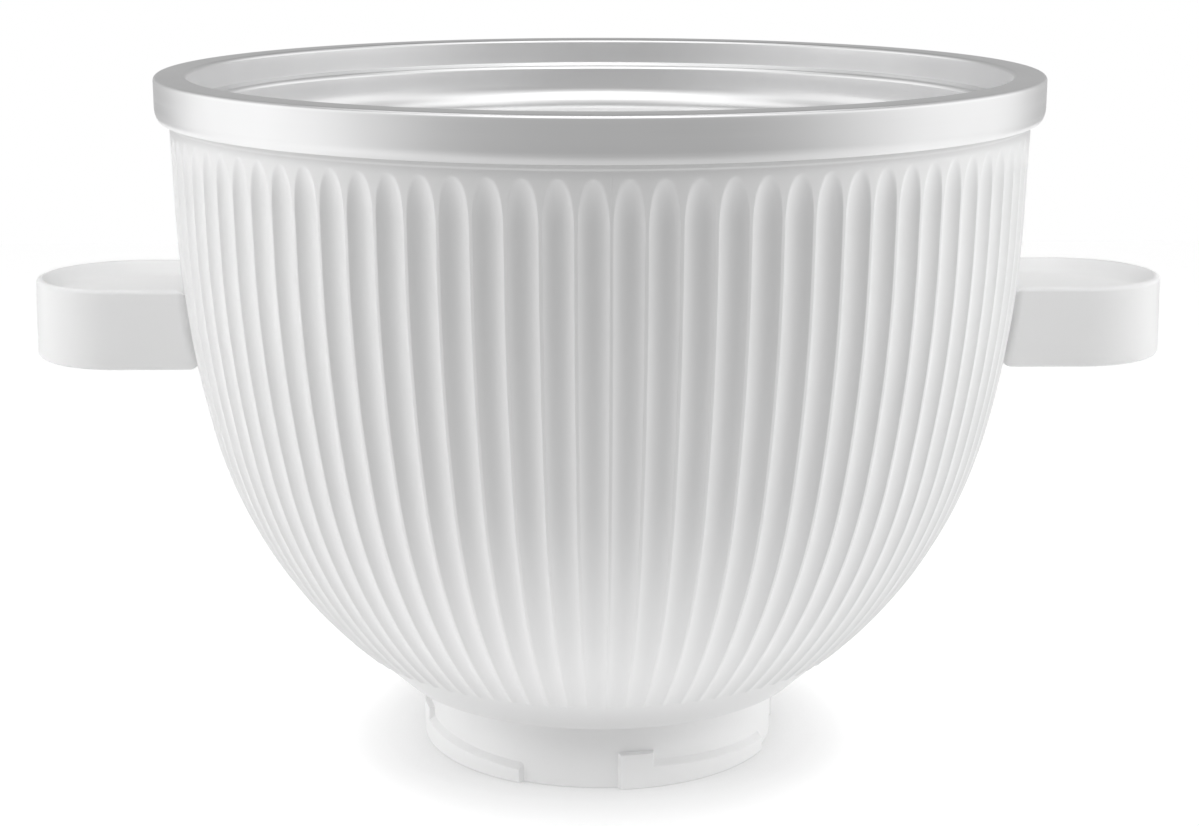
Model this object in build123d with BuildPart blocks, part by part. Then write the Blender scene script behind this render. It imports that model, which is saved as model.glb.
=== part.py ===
"""Freeze bowl of an ice cream maker.

An aluminium bowl is rolled over the top edge of a plastic shell.
The space between them is filled with freezing liquid through a plug in the
floor. Two hollow handles slide over lugs on the shell, and a round foot with
four bayonet ramps locks the bowl on a stand mixer.

Millimetres, +Z up. The origin is the middle of the foot's underside, the
mould line of the shell faces -Y and the handles point along X.
"""

import os
from math import asin, cos, radians, sin, tan

from build123d import *

# Aluminium bowl: rolled rim, neck, shelf and main wall
rim_radius = 125.0
rim_top = 197.4
rim_width = 9.1
rim_round = 1.4
sheet = 1.5
skirt_height = 11.9
roll_radius = 4.05
roll_turn = 65.0
roll_edge = 0.1
neck_depth = 8.2
neck_step = 3.2
step_fall = 0.9
step_round = 1.0
shelf_depth = 21.3
shelf_round = 9.0
shelf_width = 16.0
shelf_slope = 15.0
lip_round = 6.0
bowl_draft = 4.2
floor_round = 55.0

# Outline of the shell: a straight top, a wide arc and a tighter arc
rim_overhang = 3.9
shoulder_drop = 12.2
shell_draft = 1.5
bend_height = 134.7
upper_bend = 293.0
upper_turn = 13.4
lower_bend = 130.0
collar_height = 24.0
shell_wall = 3.0

# Top edge of the shell, held in the rolled rim
flange_reach = 1.6
flange_height = 4.6
gasket_thickness = 2.4

# Foot with bayonet ramps and stop blocks
foot_radius = 51.4
foot_wall = 3.5
foot_height = 17.0
seam = 0.3
neck_height = 4.0
cove = 2.0
ramp_count = 4
ramp_reach = 1.6
ramp_angle = 47.0
ramp_start_height = 6.2
ramp_end_height = 4.0
ramp_sections = 5
block_height = 11.8
block_angle = 10.9
block_start_angle = 5.0
web_thickness = 3.5
web_drop = 1.0
web_width = 13.0

# Floor of the shell, fill plug and its seal
floor_thickness = 4.0
plug_radius = 8.8
plug_clearance = 0.2
plug_head_radius = 12.5
plug_head_height = 3.0
plug_overlength = 3.5
plug_slot_width = 2.0
plug_slot_length = 14.0
plug_slot_depth = 1.4
seal_section = 1.4

# Freezing liquid
liquid_gap = 0.2
expansion_gap = 5.8
liquid_depth = 17.85

# Handles
handle_drop = 20.1
handle_height = 22.8
handle_width = 53.8
handle_length = 46.4
handle_draft = 1.5
handle_wall = 3.0
handle_rim = 1.8
handle_dish_depth = 4.0
handle_dish_slope = 45.0
handle_ceiling = 3.0
handle_round = 1.2
handle_gap = 0.15

# Lugs and posts that carry the handles
lug_reach = 14.0
lug_width = 38.0
lug_thickness = 7.0
lug_root = 2.4
post_spacing = 22.0
post_radius = 4.0
post_height = 4.0

# Screws, one size all over
screw_radius = 2.0
screw_head_radius = 3.6
screw_head_height = 2.4
screw_bite = 5.5
screw_end_gap = 0.5
screw_clearance = 0.25
screw_fit = 0.05
screw_drive_width = 1.0
screw_drive_depth = 1.2
base_screw_count = 4
base_screw_inset = 6.9
boss_radius = 5.0

# Values that follow from the sizes above
shell_radius = rim_radius - rim_overhang
shell_shoulder = rim_top - shoulder_drop
shell_top = rim_top - sheet - gasket_thickness
collar_underside = foot_height + seam + neck_height
floor_bottom = collar_underside - cove / 2
floor_top = floor_bottom + floor_thickness
plug_hole = plug_radius + plug_clearance
plug_head_top = floor_bottom - seal_section
web_top = foot_height - web_drop
web_bottom = web_top - web_thickness
web_inner = foot_radius - foot_wall - web_width
base_screw_circle = foot_radius - foot_wall - base_screw_inset
draft = radians(shell_draft)
turn = radians(upper_turn)
straight_bottom = collar_height + bend_height
straight_radius = shell_radius - (shell_shoulder - straight_bottom) * tan(draft)
upper_centre = (straight_radius - upper_bend * cos(draft), straight_bottom + upper_bend * sin(draft))
bend_change = upper_bend - lower_bend
lower_centre = (upper_centre[0] + bend_change * cos(turn), upper_centre[1] - bend_change * sin(turn))
handle_top = straight_bottom - handle_drop
handle_bottom = handle_top - handle_height
ceiling_underside = handle_top - handle_dish_depth - handle_ceiling
lug_top = ceiling_underside - post_height
lug_bottom = lug_top - lug_thickness

os.makedirs("parts", exist_ok=True)


def on_bend(centre, radius, angle):
    """Point at an angle below the horizontal on a bend of the shell's outline."""
    return (centre[0] + radius * cos(angle), centre[1] - radius * sin(angle))


def upper_angle(height, inset=0.0):
    """Angle on the upper bend, moved in by an inset, at a height."""
    return asin((upper_centre[1] - height) / (upper_bend - inset))


def lower_angle(height, inset=0.0):
    """Angle on the lower bend, moved in by an inset, at a height."""
    return asin((lower_centre[1] - height) / (lower_bend - inset))


def shell_outline(inset, low, high):
    """Lines of the shell's outline, moved in by an inset, from a low to a high level."""
    bend = upper_bend - inset
    end = lower_angle(low, inset)
    bend_top = max(draft, upper_angle(min(high, straight_bottom), inset))
    lowest = on_bend(lower_centre, lower_bend - inset, end)
    lower_middle = on_bend(lower_centre, lower_bend - inset, (turn + end) / 2)
    change = on_bend(upper_centre, bend, turn)
    upper_middle = on_bend(upper_centre, bend, (bend_top + turn) / 2)
    highest = on_bend(upper_centre, bend, bend_top)
    ThreePointArc(lowest, lower_middle, change)
    ThreePointArc(change, upper_middle, highest)
    if high > highest[1]:
        straight_low = highest
        highest = (straight_low[0] + (high - straight_low[1]) * tan(draft), high)
        Line(straight_low, highest)
    return lowest, highest


def shell_core(inset):
    """Lines round the shell's core at the handles, out to the outline moved in by an inset."""
    low = upper_angle(handle_bottom - handle_wall, inset)
    high = upper_angle(handle_top + handle_wall, inset)
    core_low = on_bend(upper_centre, upper_bend - inset, low)
    core_middle = on_bend(upper_centre, upper_bend - inset, (low + high) / 2)
    core_high = on_bend(upper_centre, upper_bend - inset, high)
    ThreePointArc(core_low, core_middle, core_high)
    Polyline(core_high, (0, core_high[1]), (0, core_low[1]), core_low)


def bowl_path():
    """Middle line of the aluminium sheet, from the rolled edge to the axis, with its corner radii."""
    half = sheet / 2
    skirt = rim_radius - half
    top = rim_top - half
    neck = rim_radius - rim_width + half
    wall = neck - neck_step
    shelf = rim_top - shelf_depth
    shelf_end = wall - shelf_width
    lip = shelf - shelf_width * tan(radians(shelf_slope))
    floor = floor_top + liquid_depth + half
    corner = shelf_end - (lip - floor) * tan(radians(bowl_draft))
    roll = radians(roll_turn)
    roll_run = roll_radius * tan(roll / 2) + roll_edge
    roll_corner = rim_top - skirt_height + roll_run * cos(roll) + half * sin(roll)
    points = [
        (skirt - roll_run * sin(roll), roll_corner - roll_run * cos(roll)),
        (skirt, roll_corner),
        (skirt, top),
        (neck, top),
        (neck, rim_top - neck_depth),
        (wall, rim_top - neck_depth - step_fall),
        (wall, shelf),
        (shelf_end, lip),
        (corner, floor),
        (0, floor),
    ]
    radii = [roll_radius, rim_round, rim_round, step_round, step_round, shelf_round, lip_round, floor_round]
    return points, radii


def handle_plan(inset):
    """Lines of the right handle's plan, moved in by an inset: straight sides and a round end."""
    half = handle_width / 2 - inset
    round_centre = handle_reach - handle_width / 2
    Polyline((round_centre, half), (handle_root, half), (handle_root, -half), (round_centre, -half))
    ThreePointArc((round_centre, -half), (round_centre + half, 0), (round_centre, half))


handle_middle = (handle_bottom + handle_top) / 2
handle_seat = on_bend(upper_centre, upper_bend, upper_angle(handle_middle))[0]
handle_root = handle_seat - handle_width / 2
handle_reach = handle_seat + handle_length
lug_end = handle_seat + lug_reach
post_x = handle_seat + lug_reach / 2
post_places = [(post_x, -post_spacing / 2), (post_x, post_spacing / 2)]

# Aluminium bowl
bowl_points, bowl_radii = bowl_path()
with BuildPart() as inner_bowl:
    with BuildSketch(Plane.XZ):
        with BuildLine():
            FilletPolyline(*bowl_points, radius=bowl_radii)
        trace(line_width=sheet)
    revolve(axis=Axis.Z)
inner_bowl.part.label = "inner_bowl"
export_step(inner_bowl.part, "parts/inner_bowl.step")

# Lugs on the shell that carry the handles
with BuildPart() as shell_lugs:
    with BuildSketch(Plane.XY.offset(lug_bottom)):
        Rectangle(2 * lug_end, lug_width)
    extrude(amount=lug_thickness)
    with BuildSketch(Plane.XZ):
        with BuildLine():
            shell_core(lug_root)
        make_face()
    revolve(axis=Axis.Z, mode=Mode.SUBTRACT)
    with BuildSketch(Plane.XY.offset(lug_bottom)):
        with Locations(*post_places):
            Circle(screw_radius + screw_clearance)
        mirror(about=Plane.YZ)
    extrude(amount=lug_thickness, mode=Mode.SUBTRACT)

# Shell with its floor, neck, lugs and screw bosses
with BuildPart() as outer_shell:
    with BuildSketch(Plane.XZ):
        with BuildLine():
            collar_edge, shoulder = shell_outline(0, collar_height, shell_shoulder)
            corner, brim = shell_outline(shell_wall, floor_top, shell_top)
            flange = shoulder[0] + flange_reach
            collar_angle = lower_angle(collar_height)
            underside = (collar_edge[0] - (collar_height - collar_underside), collar_underside)
            TangentArc(collar_edge, underside, tangent=(-sin(collar_angle), -cos(collar_angle)))
            FilletPolyline(
                underside,
                (foot_radius, collar_underside),
                (foot_radius, foot_height + seam),
                radius=cove,
            )
            Polyline(
                (foot_radius, foot_height + seam),
                (foot_radius - foot_wall, foot_height + seam),
                (foot_radius - foot_wall, floor_bottom),
                (plug_hole, floor_bottom),
                (plug_hole, floor_top),
                corner,
            )
            Polyline(
                brim,
                (flange, shell_top),
                (flange, shell_top - flange_height),
                (shoulder[0], shell_top - flange_height - flange_reach),
                shoulder,
            )
        make_face()
    revolve(axis=Axis.Z)
    add(shell_lugs.part)
    with BuildSketch(Plane.XY.offset(web_top)):
        with PolarLocations(base_screw_circle, base_screw_count):
            Circle(boss_radius)
    extrude(amount=floor_bottom - web_top)
    with BuildSketch(Plane.XY.offset(web_top)):
        with PolarLocations(base_screw_circle, base_screw_count):
            Circle(screw_radius + screw_fit)
    extrude(amount=screw_bite + screw_end_gap, mode=Mode.SUBTRACT)
outer_shell.part.label = "outer_shell"
export_step(outer_shell.part, "parts/outer_shell.step")

# Gasket between the shell's top edge and the underside of the rim
with BuildPart() as rim_gasket:
    with BuildSketch(Plane.XY.offset(shell_top)):
        Circle(flange)
        Circle(brim[0], mode=Mode.SUBTRACT)
    extrude(amount=gasket_thickness)
rim_gasket.part.label = "rim_gasket"
export_step(rim_gasket.part, "parts/rim_gasket.step")

# Freezing liquid between the shell and the bowl, with room above it to expand
liquid_top = bowl_points[7][1] - expansion_gap
with BuildPart() as freezing_liquid:
    with BuildSketch(Plane.XZ):
        with BuildLine():
            pool_corner, pool_edge = shell_outline(shell_wall + liquid_gap, floor_top + liquid_gap, liquid_top)
            Polyline(pool_edge, (0, liquid_top), (0, floor_top + liquid_gap), pool_corner)
        make_face()
    revolve(axis=Axis.Z)
    with BuildSketch(Plane.XZ):
        with BuildLine() as bowl_line:
            FilletPolyline(*bowl_points, radius=bowl_radii)
        trace(line_width=sheet + 2 * liquid_gap)
        with BuildLine():
            add(bowl_line.line)
            Polyline(bowl_points[-1], (0, bowl_points[0][1]), bowl_points[0])
        make_face()
    revolve(axis=Axis.Z, mode=Mode.SUBTRACT)
    with BuildSketch(Plane.XY.offset(floor_top)):
        Circle(plug_hole)
    extrude(amount=plug_overlength + liquid_gap, mode=Mode.SUBTRACT)
freezing_liquid.part.label = "freezing_liquid"
export_step(freezing_liquid.part, "parts/freezing_liquid.step")

# Fill plug, screwed in from below with a coin
with BuildPart() as fill_plug:
    with BuildSketch(Plane.XY.offset(plug_head_top)):
        Circle(plug_radius)
    extrude(amount=floor_top + plug_overlength - plug_head_top)
    with BuildSketch(Plane.XY.offset(plug_head_top)):
        Circle(plug_head_radius)
    extrude(amount=-plug_head_height)
    with BuildSketch(Plane.XY.offset(plug_head_top - plug_head_height)):
        Rectangle(plug_slot_length, plug_slot_width)
    extrude(amount=plug_slot_depth, mode=Mode.SUBTRACT)
fill_plug.part.label = "fill_plug"
export_step(fill_plug.part, "parts/fill_plug.step")

# Flat seal under the head of the plug
with BuildPart() as plug_seal:
    with BuildSketch(Plane.XY.offset(plug_head_top)):
        Circle(plug_head_radius)
        Circle(plug_hole, mode=Mode.SUBTRACT)
    extrude(amount=seal_section)
plug_seal.part.label = "plug_seal"
export_step(plug_seal.part, "parts/plug_seal.step")

# One bayonet ramp, thinning away from its stop block
with BuildPart() as bayonet_ramp:
    ramp_first = block_start_angle + block_angle / 2 - 90.0
    for section in range(ramp_sections):
        share = section / (ramp_sections - 1)
        angle = radians(ramp_first + share * (ramp_angle + block_angle / 2))
        height = ramp_start_height + share * (ramp_end_height - ramp_start_height)
        radial = (cos(angle), sin(angle), 0)
        with BuildSketch(Plane(origin=(0, 0, 0), x_dir=radial, z_dir=(sin(angle), -cos(angle), 0))):
            with BuildLine():
                Polyline(
                    (foot_radius - foot_wall / 2, 0),
                    (foot_radius + ramp_reach, 0),
                    (foot_radius + ramp_reach, height),
                    (foot_radius, height + ramp_reach),
                    (foot_radius - foot_wall / 2, height + ramp_reach),
                    close=True,
                )
            make_face()
    loft()

# One stop block at the thick end of a ramp
with BuildPart() as stop_block:
    block_start = radians(block_start_angle - 90.0)
    block_plane = Plane(
        origin=(0, 0, 0),
        x_dir=(cos(block_start), sin(block_start), 0),
        z_dir=(sin(block_start), -cos(block_start), 0),
    )
    with BuildSketch(block_plane):
        with BuildLine():
            Polyline(
                (foot_radius - foot_wall / 2, 0),
                (foot_radius + ramp_reach, 0),
                (foot_radius + ramp_reach, block_height),
                (foot_radius - foot_wall / 2, block_height),
                close=True,
            )
        make_face()
    revolve(axis=Axis.Z, revolution_arc=block_angle)

# Foot ring with its web, ramps and stop blocks
with BuildPart() as bayonet_base:
    with BuildSketch(Plane.XZ):
        with BuildLine():
            Polyline(
                (foot_radius, 0),
                (foot_radius, foot_height),
                (foot_radius - foot_wall, foot_height),
                (foot_radius - foot_wall, web_top),
                (web_inner, web_top),
                (web_inner, web_bottom),
                (foot_radius - foot_wall, web_bottom),
                (foot_radius - foot_wall, 0),
                close=True,
            )
        make_face()
    revolve(axis=Axis.Z)
    with PolarLocations(0, ramp_count):
        add(bayonet_ramp.part)
    with PolarLocations(0, ramp_count):
        add(stop_block.part)
    with BuildSketch(Plane.XY.offset(web_bottom)):
        with PolarLocations(base_screw_circle, base_screw_count):
            Circle(screw_radius + screw_clearance)
    extrude(amount=web_thickness, mode=Mode.SUBTRACT)
bayonet_base.part.label = "bayonet_base"
export_step(bayonet_base.part, "parts/bayonet_base.step")

# Right handle: a dish on top, a finger hollow below and two posts for its screws
with BuildPart() as right_handle:
    with BuildSketch(Plane.XY.offset(handle_bottom)):
        with BuildLine():
            handle_plan(0)
        make_face()
    extrude(amount=handle_height, taper=handle_draft)
    top_edges = right_handle.faces().sort_by(Axis.Z)[-1].edges()
    bottom_edges = right_handle.faces().sort_by(Axis.Z)[0].edges()
    fillet(top_edges + bottom_edges, radius=min(handle_round, handle_rim / 2))
    with BuildSketch(Plane.XY.offset(handle_top)):
        with BuildLine():
            handle_plan(handle_rim + handle_height * tan(radians(handle_draft)))
        make_face()
    extrude(amount=-handle_dish_depth, taper=handle_dish_slope, mode=Mode.SUBTRACT)
    with BuildSketch(Plane.XY.offset(handle_bottom)):
        with BuildLine():
            handle_plan(handle_wall)
        make_face()
    extrude(amount=ceiling_underside - handle_bottom, taper=handle_draft, mode=Mode.SUBTRACT)
    with BuildSketch(Plane.XY.offset(lug_top)):
        with Locations(*post_places):
            Circle(post_radius)
    extrude(amount=post_height)
    with BuildSketch(Plane.XY.offset(lug_top)):
        with Locations(*post_places):
            Circle(screw_radius + screw_fit)
    extrude(amount=screw_bite + screw_end_gap, mode=Mode.SUBTRACT)
    with BuildSketch(Plane.XZ):
        with BuildLine():
            shell_core(-handle_gap)
        make_face()
    revolve(axis=Axis.Z, mode=Mode.SUBTRACT)
right_handle.part.label = "right_handle"
export_step(right_handle.part, "parts/right_handle.step")

# Left handle, the mirror image
with BuildPart() as left_handle:
    add(mirror(right_handle.part, about=Plane.YZ, mode=Mode.PRIVATE))
left_handle.part.label = "left_handle"
export_step(left_handle.part, "parts/left_handle.step")


def screw(grip):
    """Pan-head screw that points up, seated at its origin, through a plate of a thickness."""
    with BuildPart() as body:
        with BuildSketch():
            Circle(screw_radius)
        extrude(amount=grip + screw_bite)
        with BuildSketch():
            Circle(screw_head_radius)
        extrude(amount=-screw_head_height)
        with BuildSketch(Plane.XY.offset(-screw_head_height)):
            Rectangle(screw_head_radius, screw_drive_width)
            Rectangle(screw_drive_width, screw_head_radius)
        extrude(amount=screw_drive_depth, mode=Mode.SUBTRACT)
    return body.part


# Screws that hold the foot to the shell
base_screw_shape = screw(web_thickness)
base_screw_places = PolarLocations(base_screw_circle, base_screw_count).locations
for number, place in enumerate(base_screw_places, start=1):
    with BuildPart() as base_screw:
        with Locations(Location((place.position.X, place.position.Y, web_bottom))):
            add(base_screw_shape)
    base_screw.part.label = f"base_screw_{number}"
    export_step(base_screw.part, f"parts/base_screw_{number}.step")

# Screws that hold the handles to the lugs
handle_screw_shape = screw(lug_thickness)
for side, sign in (("left", -1), ("right", 1)):
    for end, (screw_x, screw_y) in zip(("front", "back"), post_places):
        with BuildPart() as handle_screw:
            with Locations((sign * screw_x, screw_y, lug_bottom)):
                add(handle_screw_shape)
        handle_screw.part.label = f"{side}_handle_screw_{end}"
        export_step(handle_screw.part, f"parts/{side}_handle_screw_{end}.step")
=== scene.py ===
import math
from contextlib import contextmanager

import bmesh
import bpy
import numpy as np
from mathutils import Matrix, Vector


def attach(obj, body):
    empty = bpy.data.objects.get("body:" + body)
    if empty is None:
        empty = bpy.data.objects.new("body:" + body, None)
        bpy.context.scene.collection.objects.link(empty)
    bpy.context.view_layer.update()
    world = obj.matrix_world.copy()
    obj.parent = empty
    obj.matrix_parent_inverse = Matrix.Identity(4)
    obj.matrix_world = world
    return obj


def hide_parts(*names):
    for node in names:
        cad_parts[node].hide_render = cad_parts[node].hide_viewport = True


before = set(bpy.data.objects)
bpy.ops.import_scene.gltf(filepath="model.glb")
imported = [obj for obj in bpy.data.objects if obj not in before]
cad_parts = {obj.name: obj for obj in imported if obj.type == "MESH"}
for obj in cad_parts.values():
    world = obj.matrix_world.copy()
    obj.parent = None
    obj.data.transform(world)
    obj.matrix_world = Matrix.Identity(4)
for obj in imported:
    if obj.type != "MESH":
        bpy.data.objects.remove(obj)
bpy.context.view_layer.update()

scene = bpy.context.scene
scene.view_settings.view_transform = "Standard"

# Sizes of the object are in millimetres, meshes and the stage in metres
MM = 0.001

# Outline of the shell: a straight top, a wide bend and a tighter bend
DRAFT = math.radians(1.5)
TURN = math.radians(13.4)
UPPER_BEND = 293.0
LOWER_BEND = 130.0
SHOULDER_R = 121.1
SHOULDER_Z = 185.2
STRAIGHT_Z = 158.7
STRAIGHT_R = SHOULDER_R - (SHOULDER_Z - STRAIGHT_Z) * math.tan(DRAFT)
UPPER_C = (STRAIGHT_R - UPPER_BEND * math.cos(DRAFT), STRAIGHT_Z + UPPER_BEND * math.sin(DRAFT))
STEP = UPPER_BEND - LOWER_BEND
LOWER_C = (UPPER_C[0] + STEP * math.cos(TURN), UPPER_C[1] - STEP * math.sin(TURN))
CHANGE_Z = UPPER_C[1] - UPPER_BEND * math.sin(TURN)

# Flutes, which start in arches and end in a cone, and the lands between them
FLUTES = 90
PITCH = 2 * math.pi / FLUTES
FIRST_LAND = -math.pi / 2 + math.radians(0.3)
FLUTE_RADIUS = 4.9
FLUTE_TOP = 182.0
FLUTE_FADE = 12.0
FLUTE_END = 31.4
FLUTE_RUN_OUT = 1.2
FLUTE_SOFTNESS = 0.05
SOFTNESS_REST = 0.004
LAND_WIDTH = 0.5
LAND_GROWTH = 0.4
LAND_LOW_R = 72.0
LAND_HIGH_R = 121.0

# Bead under the rim, and a mould line at the front and the back
BEAD_HEIGHT = 0.12
BEAD_LOW = 183.9
BEAD_RISE = 0.5
BEAD_TOP = 185.6
BEAD_FALL = 0.2
SEAM_HEIGHT = 0.10
SEAM_TOP = 182.5

# Inside of the shell, its floor and its thicker top edge
SHELL_WALL = 3.0
WALL_LOW = 27.0
WALL_HIGH = 180.0
WALL_ROWS = 40
FLOOR_LOW = 20.3
FLOOR_TOP = 24.3
FLOOR_R = 57.0
PLUG_HOLE = 9.0
EDGE_R = 122.7
EDGE_INSIDE_LOW = 186.0
EDGE_LOW = 188.9
EDGE_TOP = 193.5
EDGE_ROOT = (121.3, 187.5)

# Lugs for the handles and bosses for the base screws
LUG_R = 122.9
LUG_Z = 124.1
LUG_SIZE = (18.0, 38.0, 7.0)
BOSSES = 4
BOSS_CIRCLE = 41.0
BOSS_Z = 18.3
BOSS_RADIUS = 5.0
BOSS_HEIGHT = 4.4

# Collar and neck between the flutes and the foot
COLLAR_EDGE = (61.3, 21.95)
COLLAR_LOW_R = 60.6
COLLAR_LOW_Z = 21.2
COLLAR_ROUND = 0.5
NECK_COVE = 2.0
NECK_BOTTOM = 18.0
NECK_ROUND = 0.25

# Bowl: its sheet, the outside of its rim and the corners of the sheet's middle line
SHEET = 1.5
RIM_R = 125.0
RIM_TOP = 197.4
SKIRT_R = RIM_R - SHEET / 2
SKIRT_LOW = 187.436
SKIRT_END = (123.395, 186.067)
SKIRT_ROLL = 5.63
RIM_Z = RIM_TOP - SHEET / 2
RIM_ROUND = 0.4
NECK_R = 116.65
LEDGE_TOP = 189.2
LEDGE_LOW = 188.3
LEDGE_R = 113.45
LEDGE_ROUND = 1.0
SHELF_OUTER_Z = 176.1
SHELF_OUTER_ROUND = 9.0
SHELF_INNER = (97.45, 171.81)
SHELF_INNER_ROUND = 6.0
BOWL_FLOOR_R = 87.98
BOWL_FLOOR_Z = 42.9
BOWL_FLOOR_ROUND = 55.0
BOWL_COLUMNS = 288

# Handles, dished on top and hollow below, with posts for their screws
HANDLE_HALF = 26.9
HANDLE_TIP = 163.2
HANDLE_CENTRE = HANDLE_TIP - HANDLE_HALF
HANDLE_LOW = 115.8
HANDLE_LOW_ROUND = 1.4
HANDLE_TOP = 138.6
HANDLE_TOP_ROUND = 1.3
HANDLE_DRAFT = math.radians(1.5)
HANDLE_LEAN = (HANDLE_TOP - HANDLE_LOW) * math.tan(HANDLE_DRAFT)
HANDLE_WALL_LOW = 3.0
HANDLE_WALL_HIGH = 3.4
HANDLE_WALL_ROUND = 0.8
HANDLE_CEILING = 131.6
HANDLE_CEILING_ROUND = 1.4
HANDLE_LIP = 1.7
HANDLE_LIP_ROUND = 0.5
HANDLE_BITE = 1.6
TIP_COLUMNS = 49
BOTTOM_EDGE = 0.9
DISH_INSET = 6.0
DISH_EDGE_Z = 134.6
DISH_EDGE_ROUND = 5.0
DISH_MIDDLE_Z = 134.3
FLARE_RADIUS = 2.6
FLARE_MOST = 1.8
POST_X = 125.0
POST_Y = 11.0
POST_Z = 129.7
POST_RADIUS = 4.0
POST_HEIGHT = 4.2

# Foot, with the ramps and stop blocks in degrees from the front, repeated all round
FOOT_R = 51.4
FOOT_INNER = 47.9
FOOT_TOP = 17.9
FOOT_TOP_ROUND = ((0.03, 0.15), (0.1, 0.06), (0.22, 0.0))
FOOT_EDGE = 0.3
FOOT_BEVEL = 0.2
FOOT_COLUMNS = 1440
WEB_INNER = 34.9
WEB_TOP = 16.0
WEB_LOW = 12.5
WEB_ROUND = 0.5
RELIEF = 1.6
RELIEF_SPACING = 90.0
BLOCK_START = 5.0
BLOCK_END = 15.9
BLOCK_TOP = 10.5
BLOCK_SIDE_BLEND = (-0.35, 0.45)
BLOCK_TOP_BLEND = (-0.12, 0.22)
RAMP_START = 10.0
RAMP_END = 63.6
RAMP_END_BLEND = (-0.4, 0.4)
RAMP_ANGLE = 47.0
RAMP_HIGH = 6.2
RAMP_FALL = 2.2
MM_PER_DEGREE = math.radians(1.0) * FOOT_R

# Stage in metres, with the strength of the floor's glow, dimmed by painted shade near the foot, and the
# camera's angles in degrees
FLOOR_HALF = 0.5
FLOOR_PLACE = (0, 0.412, -0.0002)
# Painted shade on the floor: the reach of its occlusion test, the floor's Y span over which it changes,
# and the glow left in full painted shade at the front edge and elsewhere
PAINTED_SHADE_REACH = 0.03
PAINTED_SHADE_FRONT = -0.49
PAINTED_SHADE_BACK = -0.45
GLOW_OPEN = 0.66
GLOW_PAINTED_SHADE_FRONT = 0.38
GLOW_PAINTED_SHADE = 0.22
CAMERA_PLACE = (-0.01118, -0.6404, 0.2513)
CAMERA_PITCH = 13.57
CAMERA_TURN = -1.0


def outline(z):
    """Radius of the shell at a height and the angle of its normal below the horizontal."""
    if z >= STRAIGHT_Z:
        return STRAIGHT_R + (z - STRAIGHT_Z) * math.tan(DRAFT), DRAFT
    if z >= CHANGE_Z:
        angle = math.asin((UPPER_C[1] - z) / UPPER_BEND)
        return UPPER_C[0] + UPPER_BEND * math.cos(angle), angle
    angle = math.asin((LOWER_C[1] - z) / LOWER_BEND)
    return LOWER_C[0] + LOWER_BEND * math.cos(angle), angle


def smooth(low, high, value):
    """Share that goes from 0 at low to 1 at high and is level at both."""
    share = np.clip((value - low) / (high - low), 0.0, 1.0)
    return share * share * (3.0 - 2.0 * share)


def arc_depth(radius, half):
    """How far an arc of a radius falls over half its width."""
    return radius - np.sqrt(radius ** 2 - half ** 2)


def unit(vector):
    """The vector's direction."""
    return vector / np.linalg.norm(vector)


def rounded(corners, turns):
    """Points along a line whose corners, each a place and a radius, become arcs. Its ends stay sharp."""
    places = [np.array(corner[:2], float) for corner in corners]
    path = [places[0]]
    for k in range(1, len(corners) - 1):
        here = places[k]
        radius = corners[k][2]
        back = unit(places[k - 1] - here)
        ahead = unit(places[k + 1] - here)
        half = math.acos(np.clip(np.dot(back, ahead), -1, 1)) / 2
        centre = here + unit(back + ahead) * radius / math.sin(half)
        start = here + back * radius / math.tan(half) - centre
        end = here + ahead * radius / math.tan(half) - centre
        first = math.atan2(start[1], start[0])
        sweep = math.atan2(end[1], end[0]) - first
        sweep = (sweep + math.pi) % (2 * math.pi) - math.pi
        for n in range(turns + 1):
            angle = first + sweep * n / turns
            path.append(centre + radius * np.array((math.cos(angle), math.sin(angle))))
    path.append(places[-1])
    return path


def spread(path, longest):
    """The same path with its long runs divided."""
    out = [path[0]]
    for a, b in zip(path[:-1], path[1:]):
        count = max(1, math.ceil(np.linalg.norm(b - a) / longest))
        out += [a + (b - a) * n / count for n in range(1, count + 1)]
    return out


def sideways(path, distance):
    """Path moved to its left by a distance."""
    points = np.array(path)
    tangent = np.gradient(points, axis=0)
    tangent /= np.linalg.norm(tangent, axis=1)[:, None]
    normal = np.stack((-tangent[:, 1], tangent[:, 0]), axis=1)
    return points + normal * distance


def ring(radius, height, angles):
    """Points round the axis."""
    return np.stack((radius * np.cos(angles), radius * np.sin(angles), height + 0 * angles), axis=-1)


def turned(profile, angles):
    """Rows of points of a profile of radii and heights turned round the axis."""
    return np.array([ring(r, z, angles) for r, z in profile])


@contextmanager
def editing(mesh):
    """Opens a mesh for changes and writes them back."""
    work = bmesh.new()
    work.from_mesh(mesh)
    yield work
    work.to_mesh(mesh)
    work.free()


def grid_object(name, points, close_columns=True, close_rows=False, merge=False):
    """Mesh object from an array of points in millimetres, rows by columns."""
    rows, columns = points.shape[:2]
    index = np.arange(rows * columns).reshape(rows, columns)
    left = index if close_columns else index[:, :-1]
    right = np.roll(index, -1, axis=1) if close_columns else index[:, 1:]
    faces = np.stack((left, np.roll(left, -1, axis=0), np.roll(right, -1, axis=0), right), axis=-1)
    if not close_rows:
        faces = faces[:-1]
    mesh = bpy.data.meshes.new(name)
    mesh.from_pydata((points.reshape(-1, 3) * MM).tolist(), [], faces.reshape(-1, 4).tolist())
    with editing(mesh) as work:
        if merge:
            bmesh.ops.remove_doubles(work, verts=work.verts, dist=0.002 * MM)
        bmesh.ops.recalc_face_normals(work, faces=work.faces)
    mesh.polygons.foreach_set("use_smooth", [True] * len(mesh.polygons))
    mesh.update()
    piece = bpy.data.objects.new(name, mesh)
    scene.collection.objects.link(piece)
    return piece


def sharp_edges(piece, degrees):
    """Keeps edges over an angle crisp in the shading."""
    limit = math.radians(degrees)
    with editing(piece.data) as work:
        for edge in work.edges:
            if len(edge.link_faces) == 2 and edge.calc_face_angle(0.0) > limit:
                edge.smooth = False


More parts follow.
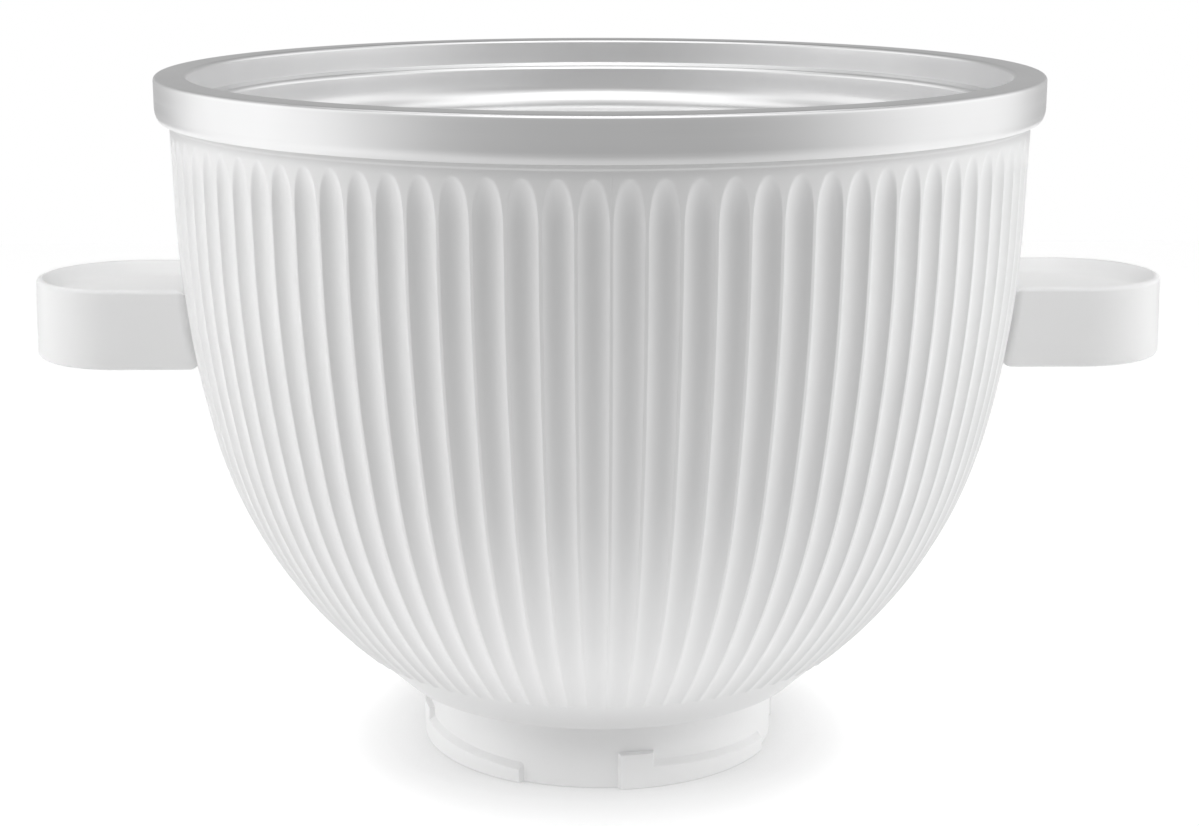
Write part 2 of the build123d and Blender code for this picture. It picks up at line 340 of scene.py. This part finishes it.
def add_block(work, centre, size):
    """Adds a box to an open mesh."""
    place = Matrix.Translation(Vector(centre) * MM)
    bmesh.ops.create_cube(work, size=1.0, matrix=place @ Matrix.Diagonal((*(Vector(size) * MM), 1.0)))


def add_post(work, centre, radius, height):
    """Adds an upright cylinder to an open mesh."""
    place = Matrix.Translation(Vector(centre) * MM)
    size = {"radius1": radius * MM, "radius2": radius * MM, "depth": height * MM}
    bmesh.ops.create_cone(work, cap_ends=True, segments=32, matrix=place, **size)


# Materials
def feed(tree, made, inputs):
    """Sets a node's inputs to values, or links them to other nodes' outputs."""
    for name, value in inputs.items():
        if isinstance(value, bpy.types.NodeSocket):
            tree.links.new(value, made.inputs[name])
        else:
            made.inputs[name].default_value = value


def shader_node(tree, kind, inputs=None, **settings):
    """New node of a kind, with its settings and inputs."""
    made = tree.nodes.new("ShaderNode" + kind)
    for name, value in settings.items():
        setattr(made, name, value)
    feed(tree, made, inputs or {})
    return made


def material(name):
    """New material with its nodes and its shader."""
    made = bpy.data.materials.new(name)
    made.use_nodes = True
    return made, made.node_tree, made.node_tree.nodes["Principled BSDF"]


def noise(tree, where, scale, detail, dimensions="3D"):
    """Share that wanders between 0 and 1 over the surface."""
    inputs = {"Vector": where, "Scale": scale, "Detail": detail}
    return shader_node(tree, "TexNoise", inputs, noise_dimensions=dimensions).outputs["Fac"]


def tones(tree, share, dark, bright, low=0.0, high=1.0):
    """Colour that goes from dark to bright as a share goes from low to high."""
    made = shader_node(tree, "ValToRGB", {"Fac": share})
    for stop, position, colour in zip(made.color_ramp.elements, (low, high), (dark, bright)):
        stop.position = position
        stop.color = (*colour, 1)
    return made.outputs["Color"]


def between(tree, share, low, high):
    """Number that goes from low to high as a share goes from 0 to 1."""
    return shader_node(tree, "MapRange", {"Value": share, "To Min": low, "To Max": high}).outputs["Result"]


def bumps(tree, height, strength, distance):
    """Normal of a surface with a fine relief."""
    inputs = {"Height": height, "Strength": strength, "Distance": distance}
    return shader_node(tree, "Bump", inputs).outputs["Normal"]


def plastic(name, tone, rough, grain):
    """Moulded white plastic with a very fine grain and faint unevenness."""
    made, tree, shader = material(name)
    where = shader_node(tree, "TexCoord").outputs["Object"]
    cloud = noise(tree, where, scale=22.0, detail=3.0)
    fine = noise(tree, where, scale=2200.0, detail=2.0)
    feed(tree, shader, {
        "Base Color": tones(tree, cloud, (tone * 0.985,) * 3, (tone,) * 3, low=0.3, high=0.7),
        "Roughness": between(tree, cloud, rough - 0.04, rough + 0.04),
        "Normal": bumps(tree, fine, strength=grain, distance=0.00006),
        "IOR": 1.5,
    })
    return made


def spun_metal(name):
    """Satin aluminium with fine lines that run round the bowl's axis."""
    made, tree, shader = material(name)
    where = shader_node(tree, "TexCoord").outputs["Object"]
    parts = shader_node(tree, "SeparateXYZ", {"Vector": where}).outputs
    flat = shader_node(tree, "CombineXYZ", {"X": parts["X"], "Y": parts["Y"]}).outputs["Vector"]
    radius = shader_node(tree, "VectorMath", {"Vector": flat}, operation="LENGTH").outputs["Value"]
    line = shader_node(tree, "CombineXYZ", {"X": radius, "Y": parts["Z"]}).outputs["Vector"]
    turns = noise(tree, line, scale=1500.0, detail=4.0, dimensions="2D")
    cloud = noise(tree, where, scale=30.0, detail=2.0)
    feed(tree, shader, {
        "Base Color": tones(tree, cloud, (0.88, 0.88, 0.882), (0.93, 0.93, 0.932), low=0.3, high=0.7),
        "Roughness": between(tree, turns, low=0.28, high=0.37),
        "Normal": bumps(tree, turns, strength=0.10, distance=0.0001),
        "Tangent": shader_node(tree, "Tangent", direction_type="RADIAL", axis="Z").outputs["Tangent"],
        "Metallic": 1.0,
        "Anisotropic": 0.4,
    })
    return made


def plain(name, tone, rough, metal, scale):
    """Small hidden pieces: a mottled surface of one tone."""
    made, tree, shader = material(name)
    where = shader_node(tree, "TexCoord").outputs["Object"]
    cloud = noise(tree, where, scale, detail=2.0)
    feed(tree, shader, {
        "Base Color": tones(tree, cloud, [part * 0.9 for part in tone], tone),
        "Roughness": between(tree, cloud, rough - 0.05, rough + 0.05),
        "Metallic": metal,
    })
    return made


shell_white = plastic("shell_white", tone=0.835, rough=0.33, grain=0.10)
handle_white = plastic("handle_white", tone=0.86, rough=0.33, grain=0.10)
foot_white = plastic("foot_white", tone=0.90, rough=0.33, grain=0.12)
plug_white = plastic("plug_white", tone=0.80, rough=0.45, grain=0.20)
aluminium = spun_metal("spun_aluminium")
rubber = plain("seal_rubber", (0.30, 0.30, 0.30), rough=0.75, metal=0.0, scale=300.0)
gel = plain("freezing_gel", (0.72, 0.83, 0.90), rough=0.20, metal=0.0, scale=40.0)
steel = plain("screw_steel", (0.60, 0.60, 0.61), rough=0.30, metal=1.0, scale=900.0)


def paint(piece, made):
    """Gives a piece one material."""
    piece.data.materials.clear()
    piece.data.materials.append(made)


def dress(piece, node, made):
    """Makes a piece stand for its node."""
    paint(piece, made)
    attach(piece, "root")
    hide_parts(node)


# Fluted shell. Columns are closest at the edges of the lands, levels where the flutes start and end
half_shares = [0.0, 0.03, 0.045, 0.055, 0.065, 0.08, 0.10, 0.13, 0.17, 0.22, 0.28, 0.35, 0.425, 0.5]
shares = np.array(half_shares + [1.0 - share for share in half_shares[-2:0:-1]])
lands = FIRST_LAND + PITCH * np.arange(FLUTES)
columns = (lands[:, None] + PITCH * shares).reshape(-1)
from_centre = np.tile((shares - 0.5) * PITCH, FLUTES)
seam_columns = [0, FLUTES // 2 * len(shares)]
shell_levels = [
    187.2, 186.2, 185.62, 185.5, 185.42, 185.2, 184.8,
    *np.linspace(184.55, 182.95, 9), SEAM_TOP,
    *np.linspace(FLUTE_TOP, 178.0, 27),
    *np.linspace(177.6, 160.5, 27),
    *np.linspace(159.0, 62.0, 50),
    *np.linspace(60.5, 36.0, 20),
    *np.linspace(35.2, 34.0, 3),
    *np.linspace(33.6, FLUTE_END, 10),
]


def flute_depth(z, r):
    """Depth of the flutes across all columns at a height, with the edges of the lands softened."""
    land = LAND_WIDTH + LAND_GROWTH * (r - LAND_LOW_R) / (LAND_HIGH_R - LAND_LOW_R)
    deep = arc_depth(FLUTE_RADIUS, (PITCH * r - land) / 2)
    if z > FLUTE_TOP - FLUTE_FADE:
        deep = deep * (1.0 - (1.0 - (FLUTE_TOP - z) / FLUTE_FADE) ** 2)
    depth = deep - arc_depth(FLUTE_RADIUS, from_centre * r)
    depth = 0.5 * (depth + np.sqrt(depth * depth + FLUTE_SOFTNESS ** 2)) - SOFTNESS_REST
    ended = 1.0 - smooth(FLUTE_END, FLUTE_END + FLUTE_RUN_OUT, z)
    return depth + (deep - depth) * ended


def shell_row(z):
    """Points of the shell's outside at a height."""
    r, angle = outline(z)
    bead = smooth(BEAD_LOW, BEAD_LOW + BEAD_RISE, z) * smooth(BEAD_TOP, BEAD_TOP - BEAD_FALL, z)
    inset = np.full(len(columns), -BEAD_HEIGHT * bead)
    if z < FLUTE_TOP:
        inset += flute_depth(z, r)
    if z < SEAM_TOP:
        inset[seam_columns] -= SEAM_HEIGHT
    return ring(r - inset * math.cos(angle), z + inset * math.sin(angle), columns)


def shell_wall():
    """Profile of the shell's inside, from the floor up to the top edge."""
    profile = []
    for z in np.linspace(WALL_LOW, WALL_HIGH, WALL_ROWS):
        r, angle = outline(z)
        profile.append((r - SHELL_WALL * math.cos(angle), z))
    for z in (EDGE_INSIDE_LOW, EDGE_TOP):
        profile.append((outline(z)[0] - SHELL_WALL, z))
    return profile


outside = np.array([shell_row(z) for z in shell_levels])
lowest_valley = outside[-1, len(half_shares) - 1]
collar_corners = [
    (np.linalg.norm(lowest_valley[:2]), lowest_valley[2]),
    (*COLLAR_EDGE, COLLAR_ROUND),
    (COLLAR_LOW_R, COLLAR_LOW_Z, COLLAR_ROUND),
    (FOOT_R, COLLAR_LOW_Z, NECK_COVE),
    (FOOT_R, NECK_BOTTOM, NECK_ROUND),
    (FOOT_INNER, NECK_BOTTOM),
]
collar = spread(rounded(collar_corners, turns=6), longest=3.0)[1:]
floor_profile = [
    (FOOT_INNER, FLOOR_LOW),
    (PLUG_HOLE, FLOOR_LOW),
    (PLUG_HOLE, FLOOR_TOP),
    (FLOOR_R, FLOOR_TOP),
]
edge_profile = [(EDGE_R, EDGE_TOP), (EDGE_R, EDGE_LOW), EDGE_ROOT]
inside = turned(collar + floor_profile + shell_wall() + edge_profile, columns)
shell = grid_object("outer_shell_fluted", np.concatenate((outside, inside)), close_rows=True)
sharp_edges(shell, degrees=50)
dress(shell, "outer_shell", shell_white)
with editing(shell.data) as work:
    for side in (-1, 1):
        add_block(work, (side * LUG_R, 0.0, LUG_Z), LUG_SIZE)
    for k in range(BOSSES):
        turn = k * 2 * math.pi / BOSSES
        centre = (BOSS_CIRCLE * math.cos(turn), BOSS_CIRCLE * math.sin(turn), BOSS_Z)
        add_post(work, centre, BOSS_RADIUS, BOSS_HEIGHT)

# Spun bowl, one sheet from the end of its rolled skirt to the middle of its floor.
# A corner of this and the other profiles is a radius or inset, a height and a round
bowl_corners = [
    SKIRT_END,
    (SKIRT_R, SKIRT_LOW, SKIRT_ROLL),
    (SKIRT_R, RIM_Z, RIM_ROUND),
    (NECK_R, RIM_Z, RIM_ROUND),
    (NECK_R, LEDGE_TOP, LEDGE_ROUND),
    (LEDGE_R, LEDGE_LOW, LEDGE_ROUND),
    (LEDGE_R, SHELF_OUTER_Z, SHELF_OUTER_ROUND),
    (*SHELF_INNER, SHELF_INNER_ROUND),
    (BOWL_FLOOR_R, BOWL_FLOOR_Z, BOWL_FLOOR_ROUND),
    (0.0, BOWL_FLOOR_Z),
]
sheet = spread(rounded(bowl_corners, turns=10), longest=3.0)
hidden = sideways(sheet, SHEET / 2)
face = sideways(sheet, -SHEET / 2)
hidden[-1, 0] = 0.0
face[-1, 0] = 0.0
bowl_angles = np.linspace(0, 2 * math.pi, BOWL_COLUMNS, endpoint=False)
bowl_rows = turned(np.concatenate((hidden, face[::-1])), bowl_angles)
bowl = grid_object("inner_bowl_spun", bowl_rows, close_rows=True, merge=True)
sharp_edges(bowl, degrees=50)
dress(bowl, "inner_bowl", aluminium)

# Handles. The section goes from the hollow's ceiling round the wall to the middle of the dish
handle_corners = [
    (HANDLE_HALF, HANDLE_CEILING),
    (HANDLE_WALL_HIGH, HANDLE_CEILING, HANDLE_CEILING_ROUND),
    (HANDLE_WALL_LOW, HANDLE_LOW, HANDLE_WALL_ROUND),
    (0.0, HANDLE_LOW, HANDLE_LOW_ROUND),
    (HANDLE_LEAN, HANDLE_TOP, HANDLE_TOP_ROUND),
    (HANDLE_LEAN + HANDLE_LIP, HANDLE_TOP, HANDLE_LIP_ROUND),
    (HANDLE_LEAN + DISH_INSET, DISH_EDGE_Z, DISH_EDGE_ROUND),
    (HANDLE_HALF, DISH_MIDDLE_Z),
]
handle_path = spread(rounded(handle_corners, turns=6), longest=2.2)
flare_ways = sideways(handle_path, -1.0) - np.array(handle_path)
hollow_end = next(k for k, (inset, z) in enumerate(handle_path) if z < HANDLE_LOW + BOTTOM_EDGE)
flare_ways[:hollow_end + 1] = 0.0
run_shares = np.concatenate((np.linspace(0, 0.25, 14), np.linspace(0.32, 1.0, 9)))
tip_turns = np.linspace(-math.pi / 2, math.pi / 2, TIP_COLUMNS)


def handle_row(inset, z, flare_way):
    """Points of a handle at one place of its section, from the shell round the tip and back."""
    half = HANDLE_HALF - inset
    root = math.sqrt(outline(z)[0] ** 2 - half ** 2) - HANDLE_BITE
    straight = []
    for x in root + (HANDLE_CENTRE - root) * run_shares[:-1]:
        gap = max(x - root - HANDLE_BITE, 0.0)
        flare = min(arc_depth(FLARE_RADIUS, max(FLARE_RADIUS - gap, 0.0)), FLARE_MOST)
        straight.append((x, max(half - flare_way[0] * flare, 0.0), z + flare_way[1] * flare))
    tip = [(HANDLE_CENTRE + half * math.cos(turn), half * math.sin(turn), z) for turn in tip_turns]
    return [(x, -y, height) for x, y, height in straight] + tip + straight[::-1]


def handle(name, side, node):
    """Handle on the right or, with side -1, on the left, with its two posts."""
    rows = [handle_row(*place, way) for place, way in zip(handle_path, flare_ways)]
    piece = grid_object(name, np.array(rows) * (side, 1, 1), close_columns=False, merge=True)
    with editing(piece.data) as work:
        for y in (-POST_Y, POST_Y):
            add_post(work, (side * POST_X, y, POST_Z), POST_RADIUS, POST_HEIGHT)
    dress(piece, node, handle_white)


handle("right_handle_grip", 1, "right_handle")
handle("left_handle_grip", -1, "left_handle")

# Foot with its ramps and stop blocks
foot_angles = np.linspace(0, 2 * math.pi, FOOT_COLUMNS, endpoint=False)
from_front = np.degrees(foot_angles + math.pi / 2) % RELIEF_SPACING
foot_levels = [
    0.0, 0.12, FOOT_EDGE, 0.6,
    *np.linspace(1.0, 3.5, 6),
    *np.linspace(3.8, 9.0, 32),
    9.5, 10.0, 10.2,
    *np.linspace(10.28, 10.58, 6),
    10.62, 10.7, 12.0, 14.0, 16.0, 17.4,
]


def foot_relief(z):
    """How far the ramps and blocks stand out all round at a height."""
    from_sides = np.minimum(from_front - BLOCK_START, BLOCK_END - from_front) * MM_PER_DEGREE
    block = smooth(*BLOCK_SIDE_BLEND, from_sides) * smooth(*BLOCK_TOP_BLEND, BLOCK_TOP - z)
    top = RAMP_HIGH - RAMP_FALL * np.clip((from_front - BLOCK_END) / RAMP_ANGLE, 0, 1)
    ramp = np.clip((top + RELIEF - z) / RELIEF, 0, 1)
    ramp = ramp * smooth(*RAMP_END_BLEND, (RAMP_END - from_front) * MM_PER_DEGREE)
    return RELIEF * np.maximum(block, ramp * (from_front > RAMP_START))


def foot_row(z):
    """Points of the foot's outside at a height, with a small round at the bottom."""
    trim = arc_depth(FOOT_EDGE, max(FOOT_EDGE - z, 0.0))
    return ring(FOOT_R + foot_relief(z) - trim, z, foot_angles)


foot_profile = [
    *((FOOT_R - inward, FOOT_TOP - down) for inward, down in FOOT_TOP_ROUND),
    (FOOT_INNER, FOOT_TOP),
    (FOOT_INNER, WEB_TOP),
    (WEB_INNER, WEB_TOP),
    (WEB_INNER, WEB_LOW),
    (FOOT_INNER - WEB_ROUND, WEB_LOW),
    (FOOT_INNER, WEB_LOW - WEB_ROUND),
    (FOOT_INNER, FOOT_EDGE),
    (FOOT_INNER + FOOT_BEVEL, 0.0),
]
foot_rows = [foot_row(z) for z in foot_levels]
foot_rows = np.concatenate((np.array(foot_rows), turned(foot_profile, foot_angles)))
foot = grid_object("bayonet_foot", foot_rows, close_rows=True)
sharp_edges(foot, degrees=35)
dress(foot, "bayonet_base", foot_white)

# Pieces that keep their solid and get a finish
finishes = {"fill_plug": plug_white, "plug_seal": rubber, "rim_gasket": rubber, "freezing_liquid": gel}
for node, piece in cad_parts.items():
    made = steel if "screw" in node else finishes.get(node)
    if made is not None:
        paint(piece, made)

# Floor, mostly behind the object, that glows white but for a painted shade at the foot: an
# ambient-occlusion node dims the glow near the object, less towards the floor's front edge
floor_mesh = bpy.data.meshes.new("floor")
with editing(floor_mesh) as work:
    bmesh.ops.create_grid(work, x_segments=1, y_segments=1, size=FLOOR_HALF)
floor = bpy.data.objects.new("floor", floor_mesh)
floor.location = FLOOR_PLACE
scene.collection.objects.link(floor)
made = bpy.data.materials.new("floor")
made.use_nodes = True
tree = made.node_tree
tree.nodes.clear()
where = shader_node(tree, "TexCoord").outputs["Object"]
along = shader_node(tree, "SeparateXYZ", {"Vector": where}).outputs["Y"]
# Glow left in full painted shade, higher towards the floor's front edge
change = {"From Min": PAINTED_SHADE_FRONT, "From Max": PAINTED_SHADE_BACK}
change.update({"To Min": GLOW_PAINTED_SHADE_FRONT, "To Max": GLOW_PAINTED_SHADE})
painted_shade_glow = shader_node(tree, "MapRange", {"Value": along, **change}).outputs["Result"]
# Painted shade: the glow drops where the ambient-occlusion node finds the object near
open_share_for_painted_shade = shader_node(tree, "AmbientOcclusion", {"Distance": PAINTED_SHADE_REACH}, samples=8).outputs["AO"]
glow = shader_node(tree, "Emission", {"Strength": between(tree, open_share_for_painted_shade, painted_shade_glow, GLOW_OPEN)})
matt = shader_node(tree, "BsdfDiffuse", {"Color": (0.50, 0.50, 0.50, 1)})
both = shader_node(tree, "AddShader", {0: matt.outputs["BSDF"], 1: glow.outputs["Emission"]})
shader_node(tree, "OutputMaterial", {"Surface": both.outputs["Shader"]})
paint(floor, made)

# White surroundings, with a dimmer room on the camera's side
world = bpy.data.worlds.new("studio")
scene.world = world
world.use_nodes = True
sky = world.node_tree
sky.nodes.clear()
where = shader_node(sky, "TexCoord").outputs["Generated"]
direction = shader_node(sky, "SeparateXYZ", {"Vector": where}).outputs
rays = shader_node(sky, "LightPath").outputs
RISE = (0.0, 1.0)
FALL = (1.0, 0.0)


def room(axis, span, strengths):
    """Strength along an axis of the room: one before the span, another after it, smooth between."""
    inputs = {"Value": direction[axis], "From Min": span[0], "From Max": span[1]}
    inputs.update({"To Min": strengths[0], "To Max": strengths[1]})
    return shader_node(sky, "MapRange", inputs, interpolation_type="SMOOTHSTEP").outputs["Result"]


def blend(share, first, second):
    """Strength that goes from the first to the second, a number or an output, with a share."""
    return shader_node(sky, "Mix", {"Factor": share, "A": first, "B": second}).outputs["Result"]


# What lights the object: a dark front, bright sides, a dimmer back and ceiling, a bright floor
ceiling = room("Z", (0.3, 0.8), RISE)
walls = blend(room("Y", (0.2, 0.9), RISE), room("Y", (-0.80, -0.28), (0.04, 1.62)), 0.55)
light = blend(ceiling, walls, room("Y", (-0.75, -0.2), (0.10, 0.55)))
light = blend(room("Z", (-0.88, -0.4), FALL), light, 1.75)

# What surfaces mirror: below the horizon left, right, back and floor, above it walls and ceiling
left = room("Y", (-0.9, -0.15), (0.38, 1.04))
right = room("Y", (-0.85, 0.05), (0.38, 1.0))
sides = blend(room("X", (-0.15, 0.15), RISE), left, right)
below = blend(room("Y", (0.5, 0.8), RISE), sides, room("Y", (0.95, 0.98), (0.36, 1.0)))
below = blend(room("Z", (-0.95, -0.5), FALL), below, 0.6)
above = blend(room("Y", (0.5, 0.8), RISE), room("Y", (-0.92, -0.15), (0.41, 1.1)), 0.43)
above = blend(ceiling, above, room("Y", (-0.45, -0.1), (1.2, 0.28)))
mirrored = blend(room("Z", (-0.06, 0.05), RISE), below, above)

light = blend(rays["Is Glossy Ray"], light, mirrored)
light = blend(rays["Is Transmission Ray"], light, mirrored)
light = blend(rays["Is Camera Ray"], light, 1.0)
studio = shader_node(sky, "Background", {"Color": (1, 1, 1, 1), "Strength": light})
shader_node(sky, "OutputWorld", {"Surface": studio.outputs["Background"]})


# Soft boxes, most of them hidden from reflections
def soft_box(name, place, aim, size, power, beam=180.0, reflected=False):
    """Lamp in metres, watts and degrees."""
    lamp = bpy.data.lights.new(name, "AREA")
    lamp.shape = "RECTANGLE"
    lamp.size, lamp.size_y = size
    lamp.energy = power
    lamp.spread = math.radians(beam)
    holder = bpy.data.objects.new(name, lamp)
    holder.location = place
    holder.rotation_euler = (Vector(aim) - Vector(place)).to_track_quat("-Z", "Y").to_euler()
    holder.visible_glossy = reflected
    scene.collection.objects.link(holder)


def soft_pair(name, place, aim, **settings):
    """The same lamp left and right."""
    for side, word in ((-1, "left"), (1, "right")):
        mirror = Vector((side, 1, 1))
        soft_box(f"{name}_{word}", mirror * Vector(place), mirror * Vector(aim), **settings)


soft_pair("side", (0.95, -0.2, 0.30), (0, 0, 0.12), size=(1.0, 0.8), power=0.4)
soft_pair("fill", (0.34, -0.42, 0.52), (0.15, -0.02, 0.125), size=(0.2, 0.2), power=0.045, beam=25.0)
soft_pair("top", (0.42, 0.05, 1.15), (0, 0, 0.15), size=(0.5, 0.5), power=0.7, reflected=True)
soft_box("top", (0.0, -0.1, 1.2), (0, 0, 0.15), size=(0.9, 0.4), power=0.6)
soft_box("low_front", (0.0, -0.30, 0.012), (0, -0.05, 0.014), size=(0.25, 0.03), power=0.008, beam=50.0)
soft_box("front", (0.0, -0.62, 0.95), (0, 0, 0.15), size=(0.6, 0.6), power=1.0, reflected=True)

# Camera at the photograph's place
lens = bpy.data.cameras.new("camera")
lens.sensor_width = 36.0
lens.lens = 67.06
lens.shift_x = -0.0004
lens.clip_start = 0.01
camera = bpy.data.objects.new("camera", lens)
camera.location = CAMERA_PLACE
camera.rotation_euler = (math.radians(90 - CAMERA_PITCH), 0, math.radians(CAMERA_TURN))
scene.collection.objects.link(camera)
scene.camera = camera
